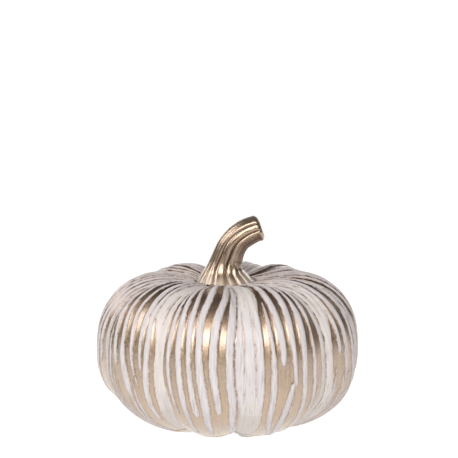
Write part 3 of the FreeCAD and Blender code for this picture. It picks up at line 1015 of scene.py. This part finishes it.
def soft_light(name, azimuth, elevation, distance, width, height, power, colour):
    """A large soft light that faces the body's middle, placed by its direction from there."""
    turn, tilt = math.radians(azimuth), math.radians(elevation)
    away = Vector((math.sin(turn) * math.cos(tilt), -math.cos(turn) * math.cos(tilt),
                   math.sin(tilt)))
    bpy.ops.object.light_add(type="AREA", location=away * distance + Vector((0, 0, BODY_MIDDLE)))
    light = bpy.context.object
    light.name = name
    light.rotation_euler = away.to_track_quat("Z", "Y").to_euler()
    light.data.shape = "RECTANGLE"
    light.data.size, light.data.size_y = width, height
    light.data.energy = power
    light.data.color = colour
    light.visible_camera = False


def studio_air():
    """The room beyond the floor: pale to look at, darker above and low in front in reflections."""
    world = bpy.data.worlds.new("studio_air")
    bpy.context.scene.world = world
    world.use_nodes = True
    tree = world.node_tree
    tree.nodes.clear()
    new, link = tree.nodes.new, tree.links.new
    place = new("ShaderNodeTexCoord")
    parts = new("ShaderNodeSeparateXYZ")
    link(place.outputs["Generated"], parts.inputs[0])
    ramp = new("ShaderNodeValToRGB")
    ramp.color_ramp.elements[0].position, ramp.color_ramp.elements[1].position = 0.0, 1.0
    for position, _ in ROOM_STOPS[1:-1]:
        ramp.color_ramp.elements.new(position)
    for element, (_, grey) in zip(ramp.color_ramp.elements, ROOM_STOPS):
        element.color = (grey, grey, grey, 1.0)
    height = new("ShaderNodeMapRange")
    height.inputs["From Min"].default_value = -1.0
    link(parts.outputs["Z"], height.inputs["Value"])
    link(height.outputs["Result"], ramp.inputs["Fac"])
    seen = new("ShaderNodeLightPath")
    room = new("ShaderNodeBackground")
    pale = new("ShaderNodeBackground")
    pale.inputs["Color"].default_value = (1.0, 1.0, 1.0, 1.0)
    link(ramp.outputs["Color"], room.inputs["Color"])
    mix = new("ShaderNodeMixShader")
    link(seen.outputs["Is Camera Ray"], mix.inputs[0])
    link(room.outputs[0], mix.inputs[1])
    link(pale.outputs[0], mix.inputs[2])
    output = new("ShaderNodeOutputWorld")
    link(mix.outputs[0], output.inputs["Surface"])


def camera(settings):
    place = (CAMERA_ACROSS, -settings.camera_distance, settings.camera_height)
    turn = (math.pi / 2.0 - settings.camera_pitch, 0.0, 0.0)
    bpy.ops.object.camera_add(location=place, rotation=turn)
    view = bpy.context.object
    view.name = "front_camera"
    view.data.lens = settings.camera_lens
    view.data.sensor_width = 36.0
    view.data.clip_start, view.data.clip_end = 0.01, 60.0
    bpy.context.scene.camera = view


class PUMPKIN_OT_stage(Operator):
    """Adds the pale floor, the soft lights and the camera"""
    bl_idname = "pumpkin.stage"
    bl_label = "Stage"

    def execute(self, context):
        settings = context.scene.pumpkin_stage
        pale_floor(settings)
        for number, (azimuth, width) in enumerate(FRONT_SOFTBOXES, start=1):
            soft_light("front_softbox_%d" % number, azimuth, FRONT_ELEVATION, FRONT_DISTANCE,
                       width, FRONT_HEIGHT, settings.key_power * width / WIDEST_SOFTBOX,
                       (1.0, 0.985, 0.97))
        soft_light("back_softbox", 180.0, 12.0, 1.8, 2.6, 0.5, settings.key_power,
                   (0.98, 0.99, 1.0))
        studio_air()
        camera(settings)
        context.scene.view_settings.view_transform = "Standard"
        context.scene.view_settings.look = "None"
        return {"FINISHED"}


# ---- panel, registration and the run ----
OPERATORS = (PUMPKIN_OT_body, PUMPKIN_OT_stem, PUMPKIN_OT_underside, PUMPKIN_OT_stage)
SETTINGS = {
    "pumpkin_body": PumpkinBodySettings,
    "pumpkin_stem": PumpkinStemSettings,
    "pumpkin_underside": PumpkinUndersideSettings,
    "pumpkin_stage": PumpkinStageSettings,
}


class PUMPKIN_PT_sidebar(Panel):
    """Settings and steps of the pumpkin figure"""
    bl_idname = "PUMPKIN_PT_sidebar"
    bl_label = "Pumpkin figure"
    bl_space_type = "VIEW_3D"
    bl_region_type = "UI"
    bl_category = "Pumpkin"

    def draw(self, context):
        for (name, group), operator in zip(SETTINGS.items(), OPERATORS):
            box = self.layout.box()
            for field in group.__annotations__:
                box.prop(getattr(context.scene, name), field)
            box.operator(operator.bl_idname)


def register():
    for group in (*SETTINGS.values(), *OPERATORS, PUMPKIN_PT_sidebar):
        bpy.utils.register_class(group)
    for name, group in SETTINGS.items():
        setattr(bpy.types.Scene, name, PointerProperty(type=group))


def unregister():
    for name in SETTINGS:
        delattr(bpy.types.Scene, name)
    for group in (PUMPKIN_PT_sidebar, *reversed(OPERATORS), *reversed(SETTINGS.values())):
        bpy.utils.unregister_class(group)


def main():
    register()
    bpy.ops.pumpkin.body()
    bpy.ops.pumpkin.stem()
    bpy.ops.pumpkin.underside()
    bpy.ops.pumpkin.stage()


if __name__ == "__main__":
    main()
